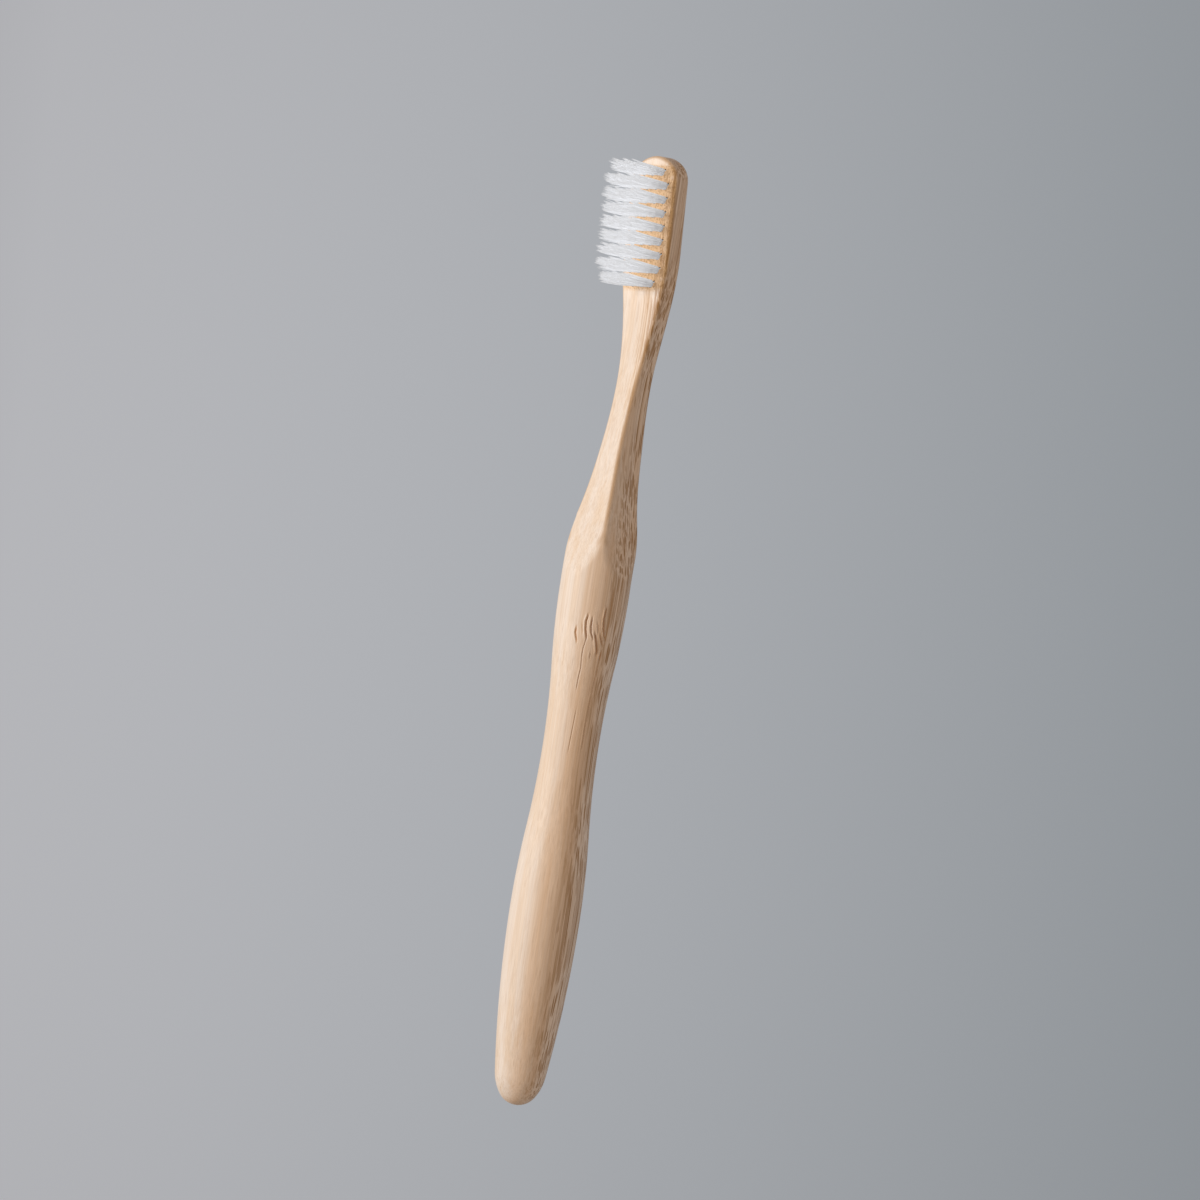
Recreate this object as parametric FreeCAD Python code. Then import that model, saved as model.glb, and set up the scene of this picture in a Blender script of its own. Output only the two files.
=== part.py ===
"""Bamboo manual toothbrush: a turned and milled handle, bristle tufts and the anchors that hold them.

Millimetres and degrees. The brush lies on the two bulges of its grip with its bristles up: +X runs along the
length to the tip of the head, +Z is up, and the origin is the middle of the underside of the brush's box.
A station is a distance along the length from the tail end. Flats are measured from the grip's axis.
"""
import FreeCAD, Part
import math
import os

from FreeCAD import Vector

# Grip, turned: lengths from station to station, and diameters there; the upper bulge is a step slimmer
DOME_LENGTH = 6.0
DOME_DIAMETER = 10.1
DOME_TO_LOWER_BULGE = 32.0
BULGE_DIAMETER = 14.1
LOWER_BULGE_TO_WAIST = 34.0
WAIST_DIAMETER = 11.0
WAIST_TO_UPPER_BULGE = 31.0
UPPER_BULGE_STEP = 0.2

# Shoulder and neck, milled: lengths from station to station, then the width, face and back flats there
BULGE_TO_RUNOUT = 2.0
RUNOUT_MARGIN = 0.35
RUNOUT_SLOPE = 0.25
RUNOUT_TO_SHOULDER = 12.0
SHOULDER_WIDTH = 9.4
SHOULDER_FACE = 4.25
SHOULDER_BACK = 4.9
SHOULDER_TO_NECK = 14.0
NECK_BOTTOM_WIDTH = 6.1
NECK_BOTTOM_FACE = 2.0
NECK_BOTTOM_BACK = 4.7
NECK_LENGTH = 16.0
NECK_TOP_WIDTH = 6.3
NECK_TOP_FACE = 0.1
NECK_TOP_BACK = 4.45
NECK_TO_HEAD = 15.0

# Tuft pattern on the head, with shorter rows at its two ends
ROWS = 9
ROW_PITCH = 2.75
COLUMNS = 4
END_ROW_COLUMNS = 3
COLUMN_PITCH = 2.4

# Head, milled: margins round the tuft pattern, outline, flats and rounded edges
TIP_MARGIN = 3.45
ROOT_MARGIN = 2.55
SIDE_MARGIN = 2.7
HEAD_ROOT_WIDTH = 10.9
HEAD_FLARE = 0.17
HEAD_TO_SIDES = 9.0
NOSE_FLATTENING = 1.2
CORNER_INSET = 1.8
HEAD_THICKNESS = 4.2
HEAD_FACE = -0.15
HEAD_TILT = 4.0
EDGE_ROUND = 0.9

# Tuft holes, tufts and anchors
HOLE_DIAMETER = 1.6
HOLE_FLOOR = 1.2
BRISTLE_LENGTH = 9.2
TUFT_SIDES = 10
TIP_GAP = 0.1
FOLD_HEIGHT = 0.5
ANCHOR_HEIGHT = 1.4
ANCHOR_THICKNESS = 0.25
ANCHOR_BITE = 0.2
ANCHOR_TURN = 22.0
CLEARANCE = 0.03

# Stations along the length
LOWER_BULGE = DOME_LENGTH + DOME_TO_LOWER_BULGE
WAIST = LOWER_BULGE + LOWER_BULGE_TO_WAIST
UPPER_BULGE = WAIST + WAIST_TO_UPPER_BULGE
RUNOUT = UPPER_BULGE + BULGE_TO_RUNOUT
SHOULDER = RUNOUT + RUNOUT_TO_SHOULDER
NECK_BOTTOM = SHOULDER + SHOULDER_TO_NECK
NECK_TOP = NECK_BOTTOM + NECK_LENGTH
HEAD = NECK_TOP + NECK_TO_HEAD
SIDES = HEAD + HEAD_TO_SIDES
LENGTH = HEAD + ROOT_MARGIN + (ROWS - 1) * ROW_PITCH + TIP_MARGIN

# Sizes that follow from the ones above
HEAD_WIDTH = (COLUMNS - 1) * COLUMN_PITCH + 2 * SIDE_MARGIN
HOLE_DEPTH = HEAD_THICKNESS - HOLE_FLOOR
ROOT_RADIUS = HOLE_DIAMETER / 2 - CLEARANCE
TIP_RADIUS = (min(COLUMN_PITCH, ROW_PITCH) - TIP_GAP) / 2
ANCHOR_WIDTH = HOLE_DIAMETER + 2 * ANCHOR_BITE
AXIS_HEIGHT = BULGE_DIAMETER / 2
UPPER_BULGE_RADIUS = (BULGE_DIAMETER - UPPER_BULGE_STEP) / 2
RUNOUT_FLAT = UPPER_BULGE_RADIUS + RUNOUT_MARGIN
STOCK = AXIS_HEIGHT + HEAD_WIDTH
TILT = math.radians(HEAD_TILT)
ALONG = Vector(1, 0, 0)
ACROSS = Vector(0, 1, 0)
UP = Vector(0, 0, 1)
HEAD_TURN = FreeCAD.Rotation(ACROSS, -HEAD_TILT)


def point(station, across, height):
    """The point at a station along the length, across the width and at a height above the grip's axis."""
    return Vector(station - LENGTH / 2, across, height + AXIS_HEIGHT)


def face_height(station):
    """Height of the head's tilted face at a station."""
    return HEAD_FACE + (station - HEAD) * math.tan(TILT)


def polyline(points):
    """Straight edges from point to point."""
    return [Part.makeLine(a, b) for a, b in zip(points[:-1], points[1:])]


def arc_about(centre, start, end):
    """The shorter circular arc from start to end about a centre."""
    middle = (start + end) * 0.5 - centre
    middle.normalize()
    return Part.Arc(start, centre + middle * (start - centre).Length, end).toShape()


def half_wave(start, end):
    """Two equal arcs from start to end, level at both, that meet half way between them."""
    rise = end.z - start.z
    radius = (end - start).Length ** 2 / (4 * rise)
    middle = (start + end) * 0.5
    return [arc_about(start + UP * radius, start, middle), arc_about(end - UP * radius, middle, end)]


def dome(bulge):
    """The tail: a round nose, a shoulder arc and one long arc, each tangent to the next, level at the bulge."""
    tail = point(0, 0, 0)
    rim = point(DOME_LENGTH, 0, DOME_DIAMETER / 2)
    rise = bulge - rim
    flank_centre = bulge - UP * (rise.Length ** 2 / (2 * rise.z))
    inward = flank_centre - rim
    inward.normalize()
    nose_radius = (rim - tail).z ** 2 / (rim - tail).x
    nose_centre = tail + ALONG * nose_radius
    reach = rim - nose_centre
    shoulder_radius = (nose_radius ** 2 - reach.Length ** 2) / (2 * (reach.dot(inward) + nose_radius))
    shoulder_centre = rim + inward * shoulder_radius
    outward = (nose_centre - shoulder_centre) * (shoulder_radius - nose_radius)
    outward.normalize()
    meeting = nose_centre + outward * nose_radius
    return [
        arc_about(nose_centre, tail, meeting),
        arc_about(shoulder_centre, meeting, rim),
        arc_about(flank_centre, rim, bulge),
    ]


def turned_blank():
    """The grip turned about its axis, then plain stock: round to the shoulder and oversize to past the tip."""
    lower = point(LOWER_BULGE, 0, BULGE_DIAMETER / 2)
    waist = point(WAIST, 0, WAIST_DIAMETER / 2)
    upper = point(UPPER_BULGE, 0, UPPER_BULGE_RADIUS)
    stock = polyline([
        upper,
        point(SHOULDER, 0, UPPER_BULGE_RADIUS),
        point(SHOULDER, 0, STOCK),
        point(LENGTH + STOCK, 0, STOCK),
        point(LENGTH + STOCK, 0, 0),
        point(0, 0, 0),
    ])
    outline = Part.Wire(dome(lower) + half_wave(lower, waist) + half_wave(waist, upper) + stock)
    return Part.Face(outline).revolve(point(0, 0, 0), ALONG, 360)


def section_poles(station, width, face, back, tilt):
    """Round a rectangular section: at each corner the start of its rounding, the sharp corner and the end."""
    up = FreeCAD.Rotation(ACROSS, -tilt).multVec(UP)
    half_thickness = (face + back) * math.cos(math.radians(tilt)) / 2
    middle = point(station, 0, face) - up * half_thickness
    walks = [(up, half_thickness), (-ACROSS, width / 2), (-up, half_thickness), (ACROSS, width / 2)]
    poles = []
    for (coming, rise), (going, run) in zip(walks, walks[1:] + walks[:1]):
        corner = middle + coming * rise - going * run
        poles.extend([corner - coming * EDGE_ROUND, corner, corner + going * EDGE_ROUND])
    return poles


def head_poles(station, width):
    """A section of the head, square to its tilted face."""
    back = HEAD_THICKNESS / math.cos(TILT) - face_height(station)
    return section_poles(station, width, face_height(station), back, HEAD_TILT)


def rail_face(rails):
    """A face across two or three rails: flat between two, and round where the middle one is a sharp corner."""
    across = len(rails) - 1
    weights = [1.0, math.sqrt(0.5), 1.0] if across == 2 else [1.0, 1.0]
    surface = Part.BSplineSurface()
    surface.buildFromPolesMultsKnots(
        [rail.getPoles() for rail in rails],
        [across + 1] * 2, rails[0].getMultiplicities(), [0.0, 1.0], rails[0].getKnots(),
        False, False, across, rails[0].Degree, [[weight] * rails[0].NbPoles for weight in weights])
    face = surface.toShape()
    plane = face.findPlane()
    return Part.Face(plane, Part.Wire(face.Edges)) if plane else face


def end_face(poles):
    """The flat rounded rectangle that closes a skin at one of its sections."""
    edges = []
    for corner in range(0, len(poles), 3):
        start, sharp, end = poles[corner:corner + 3]
        edges.append(arc_about(start + end - sharp, start, end))
        edges.append(Part.makeLine(end, poles[(corner + 3) % len(poles)]))
    return Part.Face(Part.Wire(edges))


def skin(stations, sections, start_slopes, end_slopes):
    """A solid through sections, with smooth rails along its edges that start and end in given slopes."""
    rails = []
    for points, start, end in zip(zip(*sections), start_slopes, end_slopes):
        rail = Part.BSplineCurve()
        rail.interpolate(Points=list(points), Parameters=stations, InitialTangent=start, FinalTangent=end)
        rails.append(rail)
    faces = [end_face(sections[0]), end_face(sections[-1])]
    for corner in range(0, len(rails), 3):
        faces.append(rail_face(rails[corner:corner + 3]))
        faces.append(rail_face([rails[corner + 2], rails[(corner + 3) % len(rails)]]))
    shell = Part.makeShell(faces)
    shell.sewShape()
    return Part.makeSolid(shell)


def shoulder_and_neck():
    """The milled stretch from the run-out of the flats on the bulge to the root of the head."""
    sections = [
        section_poles(RUNOUT, 2 * RUNOUT_FLAT, RUNOUT_FLAT, RUNOUT_FLAT, 0),
        section_poles(SHOULDER, SHOULDER_WIDTH, SHOULDER_FACE, SHOULDER_BACK, 0),
        section_poles(NECK_BOTTOM, NECK_BOTTOM_WIDTH, NECK_BOTTOM_FACE, NECK_BOTTOM_BACK, 0),
        section_poles(NECK_TOP, NECK_TOP_WIDTH, NECK_TOP_FACE, NECK_TOP_BACK, 0),
        head_poles(HEAD, HEAD_ROOT_WIDTH),
    ]
    inward = [
        Vector(1, -math.copysign(RUNOUT_SLOPE, pole.y), -math.copysign(RUNOUT_SLOPE, pole.z - AXIS_HEIGHT))
        for pole in sections[0]
    ]
    return skin([RUNOUT, SHOULDER, NECK_BOTTOM, NECK_TOP, HEAD], sections, inward, head_slopes(HEAD_FLARE))


def head_slopes(flare):
    """The slope of each edge of the head: up with its tilt, and outward with a flare."""
    return [
        Vector(1, math.copysign(flare, pole.y), math.tan(TILT))
        for pole in head_poles(HEAD, HEAD_ROOT_WIDTH)
    ]


def head_root():
    """The head from its root to its straight sides."""
    sections = [head_poles(HEAD, HEAD_ROOT_WIDTH), head_poles(SIDES, HEAD_WIDTH)]
    return skin([HEAD, SIDES], sections, head_slopes(HEAD_FLARE), head_slopes(0))


def head_block():
    """The head from its straight sides to its rounded tip, with its face and back edges rounded over."""
    half = HEAD_WIDTH / 2
    nose_radius = half + NOSE_FLATTENING
    corner_radius = half - CORNER_INSET
    overhang = (HEAD_THICKNESS - EDGE_ROUND) * math.sin(TILT)
    length = (LENGTH - SIDES - overhang - EDGE_ROUND) / math.cos(TILT) + EDGE_ROUND
    nose_centre = Vector(length - nose_radius, 0, 0)
    setback = math.sqrt((nose_radius - corner_radius) ** 2 - CORNER_INSET ** 2)
    tip = Vector(length, 0, 0)
    halves = []
    for side in (1, -1):
        corner_centre = nose_centre + Vector(setback, side * CORNER_INSET, 0)
        outward = corner_centre - nose_centre
        outward.normalize()
        meeting = nose_centre + outward * nose_radius
        corner = corner_centre + ACROSS * (side * corner_radius)
        halves.append([
            Part.makeLine(Vector(0, side * half, 0), corner),
            arc_about(corner_centre, corner, meeting),
            arc_about(nose_centre, meeting, tip),
        ])
    base = Part.makeLine(Vector(0, half, 0), Vector(0, -half, 0))
    outline = Part.Wire(Part.__sortEdges__([base] + halves[0] + halves[1]))
    prism = Part.Face(outline).extrude(UP * -HEAD_THICKNESS)
    rims = [edge for edge in prism.Edges if edge.BoundBox.ZLength < CLEARANCE < edge.BoundBox.XMax]
    block = prism.makeFillet(EDGE_ROUND, rims)
    block.Placement = FreeCAD.Placement(point(SIDES, 0, face_height(SIDES)), HEAD_TURN)
    return block


def tuft_places():
    """Each tuft's row, column and placement on the face: row 1 at the tip, column 1 at -Y, +Z out of the face."""
    places = []
    for row in range(1, ROWS + 1):
        station = LENGTH - TIP_MARGIN - (row - 1) * ROW_PITCH
        columns = END_ROW_COLUMNS if row in (1, ROWS) else COLUMNS
        for column in range(1, columns + 1):
            across = (column - (columns + 1) / 2) * COLUMN_PITCH
            places.append((row, column, FreeCAD.Placement(point(station, across, face_height(station)), HEAD_TURN)))
    return places


def anchor_plate(room, top):
    """A plate turned across the tuft, from the anchor's lower edge up to a top, with room all round it."""
    bottom = FOLD_HEIGHT - HOLE_DEPTH - room
    thickness = ANCHOR_THICKNESS + 2 * room
    width = ANCHOR_WIDTH + 2 * room
    plate = Part.makeBox(thickness, width, top + room - bottom, Vector(-thickness / 2, -width / 2, bottom))
    plate.rotate(Vector(), UP, ANCHOR_TURN)
    return plate


def anchor():
    """The flat metal plate that holds a tuft's fold down."""
    return anchor_plate(0, FOLD_HEIGHT - HOLE_DEPTH + ANCHOR_HEIGHT)


def ring(radius, height):
    """The corners of a many-sided outline round a tuft, at a height above the face."""
    turns = [2 * math.pi * side / TUFT_SIDES for side in range(TUFT_SIDES)]
    return [Vector(radius * math.cos(turn), radius * math.sin(turn), height) for turn in turns]


def bundle(rings):
    """The solid with flat sides from ring to ring, closed at its two ends."""
    faces = [Part.Face(Part.makePolygon(ring + ring[:1])) for ring in (rings[0], rings[-1])]
    for lower, upper in zip(rings[:-1], rings[1:]):
        for side in range(TUFT_SIDES):
            corners = [lower[side - 1], lower[side], upper[side], upper[side - 1], lower[side - 1]]
            faces.append(Part.Face(Part.makePolygon(corners)))
    return Part.makeSolid(Part.makeShell(faces))


def tuft_hole():
    """A blind hole with the slit that the anchor is driven down."""
    bore = bundle([ring(HOLE_DIAMETER / 2, -HOLE_DEPTH), ring(HOLE_DIAMETER / 2, EDGE_ROUND)])
    return bore.fuse(anchor_plate(CLEARANCE, EDGE_ROUND))


def tuft():
    """A bundle folded at its root, straight in its hole, then flaring to a flat-trimmed tip."""
    filaments = bundle([
        ring(ROOT_RADIUS, CLEARANCE - HOLE_DEPTH),
        ring(ROOT_RADIUS, 0),
        ring(TIP_RADIUS, BRISTLE_LENGTH),
    ])
    return filaments.cut(anchor_plate(CLEARANCE, FOLD_HEIGHT - HOLE_DEPTH + ANCHOR_HEIGHT))


def placed(shape, placement):
    """A copy of a shape at a placement."""
    copy = shape.copy()
    copy.Placement = placement.multiply(copy.Placement)
    return copy


def handle():
    """The turned grip with its shoulder, neck and head milled from the same stock, and its tuft holes."""
    grip_room = Part.makeBox(RUNOUT + STOCK, 2 * STOCK, 2 * STOCK, point(-STOCK, -STOCK, -STOCK))
    milled = grip_room.fuse([shoulder_and_neck(), head_root(), head_block()])
    hole = tuft_hole()
    holes = [placed(hole, placement) for row, column, placement in tuft_places()]
    return turned_blank().common(milled).cut(holes).removeSplitter()


def save(shape, node):
    """Write one node's shape."""
    shape.exportStep("parts/" + node + ".step")


def main():
    """Build every node and write it to its own file."""
    os.makedirs("parts", exist_ok=True)
    save(handle().Solids[0], "handle")
    one_tuft = tuft()
    one_anchor = anchor()
    row_anchors = {}
    for row, column, placement in tuft_places():
        save(placed(one_tuft, placement), "tuft_row%d_col%d" % (row, column))
        row_anchors.setdefault(row, []).append(placed(one_anchor, placement))
    for row, anchors in row_anchors.items():
        save(Part.makeCompound(anchors), "anchors_row%d" % row)


main()
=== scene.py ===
"""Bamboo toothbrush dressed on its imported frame: a turned and milled handle, its grain, and bristle tufts.

Shapes are worked out in millimetres and put into meshes in metres. A station is a distance along the length
from the tail end. Heights are measured from the grip's axis. The side that faces the camera is the front.
"""
import math

import bpy
import numpy as np
from mathutils import Matrix, Vector


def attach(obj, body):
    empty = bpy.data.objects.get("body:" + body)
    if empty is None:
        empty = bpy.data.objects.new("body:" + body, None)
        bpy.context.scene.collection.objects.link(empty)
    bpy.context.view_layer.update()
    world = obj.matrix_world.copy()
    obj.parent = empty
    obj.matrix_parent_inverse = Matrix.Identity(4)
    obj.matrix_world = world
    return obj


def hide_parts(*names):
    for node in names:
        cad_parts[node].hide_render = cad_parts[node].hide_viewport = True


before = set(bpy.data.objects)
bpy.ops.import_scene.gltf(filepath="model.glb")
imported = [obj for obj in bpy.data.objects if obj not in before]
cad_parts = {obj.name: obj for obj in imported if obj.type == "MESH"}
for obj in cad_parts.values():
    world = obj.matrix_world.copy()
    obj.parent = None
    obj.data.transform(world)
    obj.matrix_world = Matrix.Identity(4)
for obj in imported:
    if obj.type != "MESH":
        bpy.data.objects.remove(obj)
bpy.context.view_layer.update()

# Units and numbers for working out
MM = 0.001
GOLDEN_ANGLE = math.pi * (3 - math.sqrt(5))
HALVINGS = 40
NEXT_TO_NOTHING = 1e-9

# Grip, turned
LENGTH = 190.0
DOME_LENGTH = 6.0
DOME_RADIUS = 5.05
LOWER_BULGE = 38.0
LOWER_BULGE_RADIUS = 7.05
WAIST = 72.0
WAIST_RADIUS = 5.5
UPPER_BULGE = 103.0
UPPER_BULGE_RADIUS = 6.95
AXIS_HEIGHT = LOWER_BULGE_RADIUS

# Shoulder and neck, milled: at each station the width, and the flats of the face and the back
RUNOUT = 105.0
SHOULDER = 117.0
NECK_BOTTOM = 131.0
NECK_TOP = 147.0
HEAD = 162.0
MILLED_STATIONS = (RUNOUT, SHOULDER, NECK_BOTTOM, NECK_TOP, HEAD)
RUNOUT_FLAT = 7.3
RUNOUT_SLOPE = 0.25
HEAD_ROOT_WIDTH = 10.9
HEAD_FACE = -0.15
MILLED_WIDTHS = (2 * RUNOUT_FLAT, 9.4, 6.1, 6.3, HEAD_ROOT_WIDTH)
MILLED_FACES = (RUNOUT_FLAT, 4.25, 2.0, 0.1, HEAD_FACE)
MILLED_BACKS = (RUNOUT_FLAT, 4.9, 4.7, 4.45, 4.36)

# Crease where the flats cut the round blank: how far it is rounded off at the run-out and past its growth
CREASE_START = 0.35
CREASE_BLEND = 1.3
CREASE_GROWTH = 6.0

# Head, milled
SIDES = 171.0
HEAD_WIDTH = 12.6
HEAD_FLARE = 0.17
HEAD_THICKNESS = 4.2
HEAD_TILT = math.radians(4.0)
NOSE_FLATTENING = 1.2
CORNER_INSET = 1.8
EDGE_ROUND = 0.9
TIP_LEAN_BACK = (HEAD_THICKNESS - EDGE_ROUND) * math.sin(HEAD_TILT)
HEAD_BLOCK = EDGE_ROUND + (LENGTH - SIDES - EDGE_ROUND - TIP_LEAN_BACK) / math.cos(HEAD_TILT)

# Tufts and their holes
ROWS = 9
ROW_PITCH = 2.75
COLUMNS = 4
END_ROW_COLUMNS = 3
COLUMN_PITCH = 2.4
TIP_MARGIN = 3.45
HOLE_RADIUS = 0.8
HOLE_DEPTH = 3.0
HOLE_SIDES = 24
SLIT_LENGTH = 2.5
SLIT_THICKNESS = 0.42
SLIT_TURN = math.radians(22.0)

# Bristles: how a tuft's filaments stand, clump, lean, bow and end
BRISTLE_LENGTH = 9.2
BRISTLE_SEED = 7
ROOT_RADIUS = 0.77
TIP_RADIUS = 1.22
TIP_SPREAD = 0.06
TIP_MARGIN_UP = 0.1
TIP_RAGGED = 1.0
RAGGED_POWER = 1.5
TIP_LEAN = (0.4, 0.0)
FLARE_POWER = 0.8
FILAMENTS = 84
FILAMENT_RADIUS = 0.072
FILAMENT_SIDES = 5
FILAMENT_HEIGHTS = (0.1 - HOLE_DEPTH, -0.6, 0.4, 2.6, 4.8, 6.8, 8.4, BRISTLE_LENGTH)
FILAMENT_TAPER = (1.0, 1.0, 1.0, 1.0, 1.0, 0.95, 0.75, 0.35)
TURN_JITTER = 0.2
REACH_RANGE = (0.82, 1.08)
CLUMPS = 9
CLUMP_PULL = 0.4
CLUMP_LEAN = 0.13
BOW = 0.07
STRAY_SHARE = 0.014
STRAY_BOW = 0.6
UPWARD_SHEEN = 1.3

# View of the photograph: how far round the brush the camera stands, its roll, where it looks, and its lens
VIEW_TURN = math.radians(45.5)
VIEW_ROLL = math.radians(8.75)
VIEW_RIGHT = 2.30
VIEW_UP = 6.01
VIEW_DISTANCE = 660.0
LENS = 100.0
SENSOR = 36.0
FRONT_ANGLE = math.pi / 2 + VIEW_TURN

# Grid of the handle's skin: points round a section, then ends and points of the spans along the brush
AROUND = 192
CRACK_END = 66.0
NODE_START = 86.0
NODE_END = 101.0
GRID_SPANS = ((CRACK_END, 92), (NODE_START, 40), (NODE_END, 110), (SHOULDER, 46), (SIDES, 100))
DOME_POINTS = 16
DOME_POLE = 0.06
TIP_ROUNDED = 6.0
TIP_EVEN_POINTS = 26
TIP_CROWDED_POINTS = 36
TIP_POLE = 0.026
FRONT_CROWDING = 0.6
CROWDING_RUN = 25.0
SHARP_ANGLE = math.radians(55.0)

# Wrinkled grooves of the bamboo's node on the front: depth, width, then station and offset to the right
NODE_GROOVES = (
    (0.20, 0.16, ((95.4, -2.38), (94.3, -2.43), (92.6, -1.91))),
    (0.07, 0.12, ((96.2, -1.34), (94.5, -1.04))),
    (0.26, 0.17, ((98.0, -0.43), (96.8, -0.67), (95.3, -0.54), (93.5, -0.12))),
    (0.22, 0.16, ((97.6, 0.46), (96.0, 0.41), (94.7, 0.61), (93.5, 1.19))),
    (0.10, 0.16, ((96.8, 1.64), (94.9, 2.0))),
    (0.28, 0.18, ((94.7, 1.39), (93.0, 1.88), (91.3, 2.25), (90.6, 2.21))),
    (0.24, 0.16, ((94.4, 2.48), (93.2, 2.87), (92.4, 3.17))),
    (0.26, 0.15, ((99.9, 2.89), (97.7, 2.74), (95.9, 2.9), (94.6, 3.18), (93.6, 3.56))),
    (0.12, 0.15, ((103.7, 3.66), (100.8, 3.72), (97.9, 3.77), (95.6, 3.65), (93.6, 3.56))),
    (0.20, 0.18, ((91.3, 3.16), (89.7, 3.02))),
    (0.12, 0.13, ((90.8, 1.07), (89.8, 1.08))),
    (0.10, 0.10, ((93.5, -0.12), (91.5, -0.43), (90.0, -0.48), (87.7, -0.32), (85.1, -0.51), (83.4, -0.55))),
    (0.10, 0.10, ((90.1, 2.96), (85.8, 2.66), (81.4, 2.44), (75.6, 2.22), (72.0, 2.2))),
    (0.07, 0.10, ((79.1, 0.04), (76.2, -0.09), (71.0, -0.3))),
)

# Shape of a groove: its fade at the ends, its darkening by depth, and its lip by its own width and depth
GROOVE_FADE = 0.7
GROOVE_DARKENING = 5
LIP_OFFSET = 1.9
LIP_WIDTH = 1.1
LIP_HEIGHT = 0.4

# Warm shade painted along the edges: distances from the edge where it fades, and how far past the run-out the
# crease shows
EDGE_BAND = (0.25, 0.8)
CREASE_SHOWS = (RUNOUT + 2.0, RUNOUT + 8.0)
CREASE_CLEARANCE = 2.0

# Shade painted on the bamboo's face among the tufts: where it fades away from a tuft, past the end rows and
# down from the face
TUFT_SHADE_REACH = (1.4, 2.2)
TUFT_SHADE_NARROWED = 0.5
TUFT_SHADE_ENDS = (-1.7, -0.8)
TUFT_SHADE_DEPTH = (-0.9, -0.4)

# Walls and floors of the holes, where dark shade is painted: how far past the slits and how far below the
# face they are looked for
HOLE_MARGIN = 0.02
HOLE_LIP = 0.1

# Colours of the bamboo's ground, honey and a cream painted on as light, and the side facing the key lamp
# where the cream goes
LIT_CREAM = (0.88, 0.735, 0.615, 1)
LIT_TAN = (0.845, 0.655, 0.495, 1)
HONEY = (0.875, 0.61, 0.415, 1)
DEEP_HONEY = (0.83, 0.535, 0.33, 1)
PAINTED_LIGHT_SIDE = (0.0, 0.35, 0.94)

# Colours laid over the bamboo's ground, some of them painted shade, and how far each covers it
# Warm shade painted along the edges of the flats
EDGE_SHADE_ORANGE = (0.58, 0.335, 0.155, 1)
# Painted shade of the bristles on the face among the tufts
TUFT_SHADE_TAN = (0.79, 0.47, 0.205, 1)
SPECK_BROWN = (0.36, 0.18, 0.07, 1)
# Lit and shaded copies of the strands' colour: painted shade makes them browner on the shaded side
LIT_FIBRE_TAN = (0.70, 0.41, 0.18, 1)
SHADED_FIBRE_BROWN = (0.37, 0.165, 0.04, 1)
DASH_BROWN = (0.44, 0.21, 0.07, 1)
GROOVE_BROWN = (0.58, 0.27, 0.085, 1)
# Dark shade painted inside the tuft holes
HOLE_SHADE_BROWN = (0.07, 0.035, 0.016, 1)
EDGE_SHADE_COVER = 0.6
TUFT_SHADE_COVER = 0.75
SPECK_COVER = 0.6
STRAND_COVER = 0.95
DASH_COVER = 0.62
GROOVE_COVER = 0.85
HOLE_SHADE_COVER = 1.0

# Clouds: their middle value, the span that most of them lie in, and for each its length, width and detail
CLOUD_GROUP = "drawn_out_clouds"
CLOUD_MIDDLE = 0.5
CLOUD_SPAN = (0.3, 0.7)
WANDER = (30.0, 3.0, 2.0)
FIBRES = (14.0, 0.13, 3.0)
NYLON_CLOUDS = (1.2, 1.2, 2.0)
BRASS_SCRATCHES = (0.8, 0.05, 2.0)
PAPER_GRAIN = (3.0, 3.0, 2.0)

# Bamboo's streaks: length along and width across the brush, then the crests that show, from faint to full
LONG_LINES = (120.0, 0.45, 0.56, 0.6)
DASHES = (5.5, 0.42, 0.6, 0.65)
BANDS = (90.0, 2.2, 0.35, 0.7)
SPECKS = (0.46, 0.38, 0.53, 0.61)
STREAK_DETAIL = 2.0

# Bamboo's bundles: spacing across the brush, then the shares of it where a bundle's core and edge end
COARSE_BUNDLES = (0.58, 0.21, 0.31)
FINE_BUNDLES = (0.42, 0.2, 0.34)
LINE_STRENGTH = 0.7
COARSE_STRENGTH = 0.95
FINE_STRENGTH = 0.5

# Bamboo's ramps: from a low to a high value of their source, then their own values there
BUNDLE_PICK = (0.15, 0.6, 0.3, 1.0)
# Partly painted shade: strands stronger and browner towards the shaded side
CROWDING_AND_SHADE = (-1.0, 3.4, 0.2, 1.0)
# Painted light and shade: cream towards the key lamp, and a little cream again deep in the shade
LIT_PALING = (0.3, 0.95, 0.0, 1.0)
SHADE_PALING = (-0.6, -0.05, 0.4, 0.0)
FIBRE_LIGHT = CLOUD_SPAN + (0.92, 1.05)
BAMBOO_ROUGHNESS = CLOUD_SPAN + (0.58, 0.46)

# Bamboo's other values: way to the stalk's skin, which is also the shaded side, across and up, bend of the
# strands, relief and gloss
SKIN_AND_SHADE_ACROSS = -0.5
SKIN_AND_SHADE_UP = -0.87
WANDER_REACH = 0.6
STRAND_SINK = 0.6
RELIEF_DEPTH = 0.06
RELIEF_STRENGTH = 0.35
BAMBOO_SPECULAR = 0.35
SHEEN_WEIGHT = 0.12
SHEEN_ROUGHNESS = 0.4

# Nylon: colours, where the painted light at the root ends, how much light a filament passes, and through how
# many it goes
NYLON_SHADE = (0.74, 0.755, 0.785, 1)
NYLON_LIGHT = (0.82, 0.83, 0.855, 1)
PAINTED_ROOT_LIGHT = (0.835, 0.84, 0.86, 1)
NYLON_ROUGHNESS = CLOUD_SPAN + (0.42, 0.3)
ROOT_LIGHT_RAMP = (0.1, 0.8, 1.0, 0.0)
PASSED_NEAR = 0.98
PASSED_FAR = 0.88
PASSED_RAMP = (2.0 * MM, 5.0 * MM, PASSED_NEAR, PASSED_FAR)
CLEAR_BOUNCES = 64

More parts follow.
